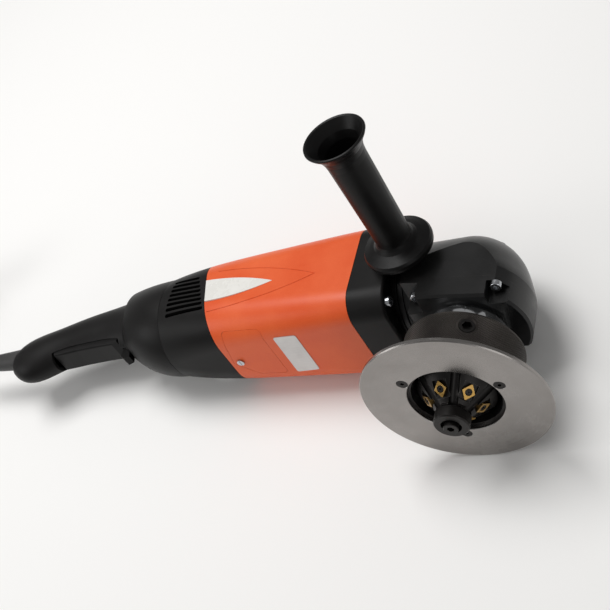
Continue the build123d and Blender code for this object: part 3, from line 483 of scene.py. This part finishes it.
@dataclass
class Studio:
    """Camera, pale floor and soft lights."""

    position: Point = (0.57246, -0.46767, 0.83761)
    right: Point = (0.877668, 0.147484, -0.456013)
    up: Point = (0.112575, 0.861415, 0.495268)
    lens: float = 70.585
    floor_size: float = 5.0

    def camera(self) -> None:
        """Add the camera and make it the scene's own."""
        data = bpy.data.cameras.new("view")
        data.lens, data.sensor_width, data.clip_end = self.lens, 36.0, 50.0
        camera = bpy.data.objects.new("view", data)
        right, up = Vector(self.right).normalized(), Vector(self.up).normalized()
        turn = Matrix((right, up, right.cross(up))).transposed().to_4x4()
        camera.matrix_world = Matrix.Translation(self.position) @ turn
        bpy.context.scene.collection.objects.link(camera)
        bpy.context.scene.camera = camera
        bpy.context.scene.view_settings.view_transform = "Standard"

    def floor(self) -> None:
        """Lay the pale floor."""
        mesh = bpy.data.meshes.new("floor")
        shape = bmesh.new()
        bmesh.ops.create_circle(shape, cap_ends=True, segments=96, radius=self.floor_size)
        shape.to_mesh(mesh)
        shape.free()
        pale = bpy.data.materials.new("pale_board")
        pale.use_nodes = True
        shader = pale.node_tree.nodes["Principled BSDF"]
        shader.inputs["Base Color"].default_value = linear("#F4F3F1")
        shader.inputs["Roughness"].default_value = 0.7
        mesh.materials.append(pale)
        mesh_piece("floor", mesh)

    def lamp(self, name: str, at: Point, size: float, power: float) -> None:
        """Add a square soft light that faces the middle of the tool.

        Args:
            name: Lamp name.
            at: Its place in metres.
            size: Side in metres.
            power: Watts.
        """
        data = bpy.data.lights.new(name, "AREA")
        data.size, data.energy = size, power
        lamp = bpy.data.objects.new(name, data)
        aim = Vector((0.05, 0.0, 0.08)) - Vector(at)
        lamp.matrix_world = Matrix.Translation(at) @ aim.to_track_quat("-Z", "Y").to_matrix().to_4x4()
        bpy.context.scene.collection.objects.link(lamp)

    def lights(self) -> None:
        """Add the soft studio lights and the pale surroundings."""
        self.lamp("overhead", (-0.35, 0.55, 1.9), 1.1, 30.0)
        self.lamp("left_window", (-1.6, -0.7, 1.1), 0.9, 7.5)
        self.lamp("front_fill", (1.3, -1.5, 0.8), 0.9, 3.5)
        world = bpy.data.worlds.new("surroundings")
        world.use_nodes = True
        back = world.node_tree.nodes["Background"]
        back.inputs["Color"].default_value = linear("#FFFFFF")
        back.inputs["Strength"].default_value = 0.27
        bpy.context.scene.world = world

    def build(self) -> None:
        """Set up everything that isn't part of the tool."""
        self.camera()
        self.floor()
        self.lights()


# Mains lead

@dataclass
class MainsLead:
    """Rubber lead: out of the strain relief, down to the bench, a tied coil and its plug."""

    diameter: float = 9.0
    coil_centre: tuple[float, float] = (-455.0, 95.0)
    coil_base: float = 6.2
    mean_radius: float = 54.0
    points_per_turn: int = 24
    arrives: float = -96.4          # degrees, where the lead meets the coil
    leaves: float = -76.0           # degrees, where it goes on to the plug
    run_in: float = 12.0            # degrees left free at both ends for the smooth join
    first_step: float = 0.08        # part of a turn before the first step over
    step_gap: float = 0.125         # from one step to the next
    step_share: float = 0.11        # part of a turn that a step takes
    strap_thickness: float = 1.5
    strap_corner: float = 5.0
    strap_corner_steps: int = 8
    way_out: Sequence[Point] = (
        (-315.1, 30.5, 43.7), (-352.0, 30.5, 42.7), (-384.0, 30.0, 31.7), (-414.0, 30.6, 15.0),
        (-439.0, 31.2, 6.2), (-462.0, 32.2, 6.2))
    way_to_plug: Sequence[Point] = (
        (-441.6, 41.0, 35.0), (-468.4, 41.0, 40.6), (-491.6, 54.4, 42.6), (-505.0, 77.6, 42.8),
        (-505.0, 104.4, 44.6), (-491.6, 127.6, 48.4), (-468.4, 141.0, 52.6), (-446.0, 141.0, 54.2))
    columns: Sequence[tuple[int, int]] = (
        (1, 0), (0, 0), (-1, 0), (-1, 1), (0, 1), (1, 1), (1, 2), (0, 2), (-1, 2), (-1, 3), (0, 3))

    def step_start(self, turn: int) -> float:
        """Part of the turn at which the lead steps over to the next place.

        The upper turns step over first, so that no two steps meet.

        Args:
            turn: Number of the turn.

        Returns:
            Share of the turn, from zero to one.
        """
        here, there = self.columns[turn], self.columns[turn + 1]
        order = 2 * (3 - here[1]) - (1 if there[1] > here[1] else 0)
        return self.first_step + order * self.step_gap

    def turns(self) -> list[Point]:
        """Points of the wound turns, clockwise from where the lead comes in.

        Returns:
            Points in millimetres of the row frame.
        """
        start = math.radians(self.arrives - self.run_in)
        end = math.radians(self.leaves + self.run_in - 360.0 * len(self.columns))
        count = round((start - end) / (2 * math.pi) * self.points_per_turn)
        points = []
        for i in range(count + 1):
            angle = start + (end - start) * i / count
            travelled = (math.radians(self.arrives) - angle) / (2 * math.pi)
            turn = min(int(travelled), len(self.columns) - 1)
            column, layer = self.columns[turn]
            if turn + 1 < len(self.columns):
                share = (travelled - turn - self.step_start(turn)) / self.step_share
                share = min(max(share, 0.0), 1.0)
                share = share * share * (3 - 2 * share)
                column += (self.columns[turn + 1][0] - column) * share
                layer += (self.columns[turn + 1][1] - layer) * share
            radius = (self.mean_radius + column * self.diameter) / math.cos(math.pi / self.points_per_turn)
            points.append((self.coil_centre[0] + radius * math.cos(angle),
                           self.coil_centre[1] + radius * math.sin(angle),
                           self.coil_base + layer * self.diameter))
        return points

    def lead(self) -> bpy.types.Object:
        """Build the lead as one smooth spline.

        Returns:
            The curve object.
        """
        curve = bpy.data.curves.new("mains_lead", "CURVE")
        curve.dimensions = "3D"
        curve.bevel_depth = self.diameter / 2 * MM
        curve.bevel_resolution = 5
        curve.resolution_u = 6
        curve.use_fill_caps = True
        points = [*self.way_out, *self.turns(), *self.way_to_plug]
        spline = curve.splines.new("NURBS")
        spline.points.add(len(points) - 1)
        for knot, point in zip(spline.points, points):
            knot.co = (point[0] * MM, point[1] * MM, point[2] * MM, 1.0)
        spline.order_u = 3
        spline.use_endpoint_u = True
        curve.materials.append(RUBBER.material())
        piece = bpy.data.objects.new("mains_lead", curve)
        bpy.context.scene.collection.objects.link(piece)
        return piece

    def strap(self) -> bpy.types.Object:
        """Build the hook-and-loop strap round one side of the coil.

        Returns:
            The strap.
        """
        low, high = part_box("cord_tie")
        thick, soft, steps = self.strap_thickness * MM, self.strap_corner * MM, self.strap_corner_steps
        y0, y1, z0, z1 = low.y + thick / 2, high.y - thick / 2, low.z + thick / 2, high.z - thick / 2
        loop = []
        for cy, cz, first in ((y1 - soft, z1 - soft, 0), (y0 + soft, z1 - soft, 90),
                              (y0 + soft, z0 + soft, 180), (y1 - soft, z0 + soft, 270)):
            for i in range(steps + 1):
                a = math.radians(first + 90 * i / steps)
                loop.append((cy + soft * math.cos(a), cz + soft * math.sin(a)))
        shape = bmesh.new()
        rows = [[shape.verts.new((x, y, z)) for y, z in loop]
                for x in (low.x + 0.4 * MM, (low.x + high.x) / 2, high.x - 0.4 * MM)]
        for one, two in zip(rows, rows[1:]):
            for i in range(len(loop)):
                j = (i + 1) % len(loop)
                shape.faces.new((one[i], one[j], two[j], two[i]))
        bmesh.ops.recalc_face_normals(shape, faces=shape.faces)
        mesh = bpy.data.meshes.new("lead_strap")
        shape.to_mesh(mesh)
        shape.free()
        mesh.shade_smooth()
        piece = mesh_piece("lead_strap", mesh, WEBBING)
        wall = piece.modifiers.new("thickness", "SOLIDIFY")
        wall.thickness, wall.offset = thick, 0.0
        edge = piece.modifiers.new("edge", "BEVEL")
        edge.width, edge.segments, edge.limit_method = 0.4 * MM, 2, "ANGLE"
        return piece

    def build(self) -> None:
        """Build the lead with its strap, plug and strain relief."""
        lead, strap = self.lead(), self.strap()
        settle(lead, "root", "black_rubber", "cord_lead", "cord_tail", "cord_coil")
        settle(strap, "root", "black_webbing", "cord_tie")
        dress(RUBBER, "plug_body", "strain_relief")
        dress(PRESSED_BRASS, "plug_pins")


# Sub-assemblies of the tool

@dataclass
class MotorBody:
    """Square motor housing with its front and vent housings, labels and screws."""

    def build(self) -> None:
        """Dress the housings."""
        dress(ORANGE_NYLON, "motor_housing", "brush_covers")
        dress(BLACK_NYLON, "front_housing", "vent_housing")
        dress(ZINC_PLATE, "body_screws", "brush_cover_screws")
        dress(FOIL, "rating_label")
        dress(VINYL, "side_emblem")


@dataclass
class MotorInside:
    """Armature, stator, brushes, fan and bearings inside the housings."""

    def build(self) -> None:
        """Dress the inner pieces."""
        dress(LAMINATIONS, "armature_core", "stator_core")
        dress(COPPER_WIRE, "armature_windings", "field_coils", "commutator")
        dress(BEARING_STEEL, "armature_shaft", "pinion", "front_armature_bearing", "rear_armature_bearing")
        dress(BLACK_NYLON, "fan", "air_baffle")
        dress(PRESSED_BRASS, "brush_holders")
        dress(GRAPHITE, "carbon_brushes")


@dataclass
class GearHead:
    """Cast gear case and bearing flange with the bevel gears."""

    def build(self) -> None:
        """Dress the gear head."""
        dress(POWDER_COAT, "gear_case", "bearing_flange")
        dress(ZINC_PLATE, "bearing_flange_screws")
        dress(BLACK_NYLON, "spindle_lock_button")
        dress(BEARING_STEEL, "spindle", "crown_gear", "lower_spindle_bearing", "upper_spindle_bearing")
        dress(POLISHED_STEEL, "threaded_sleeve")


@dataclass
class DepthGuide:
    """Guide plate on its cup, with the knurled collar that sets the depth."""

    knurl_radius: float = 47.85
    knurl_low: float = -102.4
    knurl_high: float = -66.2
    knurl_half: float = 0.9
    knurl_height: float = 0.6
    screw_turn: float = -64.6
    screw_z: float = -77.7
    screw_clear: float = 8.6

    def knurl_tree(self, tree: bpy.types.NodeTree) -> None:
        """Fill the tree that sets small pyramids in staggered rows round the collar.

        Args:
            tree: Geometry tree whose named inputs are the sizes.
        """
        sizes = add_node(tree, "NodeGroupInput").outputs
        grid = add_node(tree, "GeometryNodeMeshGrid", None, {
            "Vertices X": sizes["Around"], "Vertices Y": sizes["Rows"]})
        index = add_node(tree, "GeometryNodeInputIndex").outputs[0]
        column = add_node(tree, "ShaderNodeMath", {"operation": "DIVIDE"}, {0: index, 1: sizes["Rows"]})
        column = add_node(tree, "ShaderNodeMath", {"operation": "FLOOR"}, {0: column.outputs[0]})
        row = add_node(tree, "ShaderNodeMath", {"operation": "MODULO"}, {0: index, 1: sizes["Rows"]})
        odd = add_node(tree, "ShaderNodeMath", {"operation": "MODULO"}, {0: row.outputs[0], 1: 2.0})
        place = add_node(tree, "ShaderNodeMath", {"operation": "MULTIPLY_ADD"}, {
            0: odd.outputs[0], 1: 0.5, 2: column.outputs[0]})
        step = add_node(tree, "ShaderNodeMath", {"operation": "DIVIDE"}, {0: 2 * math.pi, 1: sizes["Around"]})
        angle = add_node(tree, "ShaderNodeMath", {"operation": "MULTIPLY"}, {
            0: place.outputs[0], 1: step.outputs[0]})
        cosine = add_node(tree, "ShaderNodeMath", {"operation": "COSINE"}, {0: angle.outputs[0]})
        sine = add_node(tree, "ShaderNodeMath", {"operation": "SINE"}, {0: angle.outputs[0]})
        x = add_node(tree, "ShaderNodeMath", {"operation": "MULTIPLY"}, {
            0: cosine.outputs[0], 1: sizes["Radius"]})
        y = add_node(tree, "ShaderNodeMath", {"operation": "MULTIPLY"}, {
            0: sine.outputs[0], 1: sizes["Radius"]})
        z = add_node(tree, "ShaderNodeMath", {"operation": "MULTIPLY_ADD"}, {
            0: row.outputs[0], 1: sizes["Pitch"], 2: sizes["Low"]})
        spot = add_node(tree, "ShaderNodeCombineXYZ", None, {
            0: x.outputs[0], 1: y.outputs[0], 2: z.outputs[0]})
        moved = add_node(tree, "GeometryNodeSetPosition", None, {
            "Geometry": grid.outputs["Mesh"], "Position": spot.outputs[0]})
        gap = add_node(tree, "ShaderNodeVectorMath", {"operation": "DISTANCE"}, {
            0: spot.outputs[0], 1: sizes["Screw"]})
        near = add_node(tree, "FunctionNodeCompare", {"operation": "LESS_THAN", "data_type": "FLOAT"}, {
            0: gap.outputs["Value"], 1: sizes["Clear"]})
        kept = add_node(tree, "GeometryNodeDeleteGeometry", {"domain": "POINT"}, {
            "Geometry": moved.outputs[0], "Selection": near.outputs[0]})
        tooth = add_node(tree, "GeometryNodeMeshCone", {"fill_type": "NONE"}, {
            "Vertices": 4, "Radius Bottom": sizes["Pitch"], "Radius Top": 0.0, "Depth": sizes["Height"]})
        turn = add_node(tree, "ShaderNodeCombineXYZ", None, {1: math.pi / 2, 2: angle.outputs[0]})
        studs = add_node(tree, "GeometryNodeInstanceOnPoints", None, {
            "Points": kept.outputs[0], "Instance": tooth.outputs["Mesh"], "Rotation": turn.outputs[0]})
        placed = add_node(tree, "GeometryNodeTransform", None, {
            "Geometry": studs.outputs[0], "Translation": sizes["Origin"], "Rotation": sizes["Turn"]})
        real = add_node(tree, "GeometryNodeRealizeInstances", None, {0: placed.outputs[0]})
        done = add_node(tree, "GeometryNodeSetMaterial", None, {
            "Geometry": real.outputs[0], "Material": sizes["Material"]})
        add_node(tree, "NodeGroupOutput", None, {0: done.outputs[0]})

    def knurl(self) -> bpy.types.Object:
        """Build the diamond knurl, drawn at 1.8 mm pitch so that it shows.

        Returns:
            The knurl as a plain mesh object.
        """
        around = round(2 * math.pi * self.knurl_radius / (2 * self.knurl_half))
        rows = int((self.knurl_high - self.knurl_low) / self.knurl_half)
        turn = math.radians(self.screw_turn)
        across = Vector((math.cos(turn), math.sin(turn), 0.0)) * self.knurl_radius
        screw = (across + Vector((0.0, 0.0, self.screw_z))) * MM
        return grown("collar_knurl", self.knurl_tree, {
            "Around": around, "Rows": rows, "Radius": self.knurl_radius * MM, "Pitch": self.knurl_half * MM,
            "Low": self.knurl_low * MM, "Height": self.knurl_height * MM, "Screw": screw,
            "Clear": self.screw_clear * MM, "Origin": Vector(TOOL.origin),
            "Turn": Vector(TOOL.matrix.to_euler("XYZ")), "Material": KNURLED_OXIDE.material()})

    def build(self) -> None:
        """Build the knurl and dress the guide."""
        settle(self.knurl(), "depth_collar", "black_oxide_steel")
        dress(GROUND_STEEL, "guide_plate")
        dress(BLACK_OXIDE, "depth_cup", "plate_screws", "collar_lock_screw")
        dress(KNURLED_OXIDE, "knurled_collar")


@dataclass
class MillingHead:
    """Cone cutter with its inserts and the guide roller."""

    def build(self) -> None:
        """Dress the milling head."""
        dress(BLACK_OXIDE, "cutter_head", "insert_screws")
        dress(BLACK_OXIDE, "guide_roller", "roller_bush", "roller_screw", "roller_washer")
        dress(NITRIDED_CARBIDE, "cutter_inserts")


@dataclass
class Handles:
    """Side handle, and rear handle with its trigger and lock-off lever."""

    def build(self) -> None:
        """Dress the handles."""
        dress(GRIP_NYLON, "side_handle_grip", "trigger", "lock_off_lever")
        dress(BLACK_NYLON, "handle_shell_right", "handle_shell_left", "switch_block")
        dress(ZINC_PLATE, "side_handle_stud", "handle_screws", "pivot_pins")


def main() -> None:
    """Build the studio, then each sub-assembly in order."""
    logging.basicConfig(level=logging.INFO, format="%(message)s")
    Studio().build()
    MainsLead().build()
    for part in (MotorBody(), MotorInside(), GearHead(), DepthGuide(), MillingHead(), Handles()):
        part.build()
        LOG.info("finished %s", type(part).__name__)


if __name__ == "__main__":
    main()
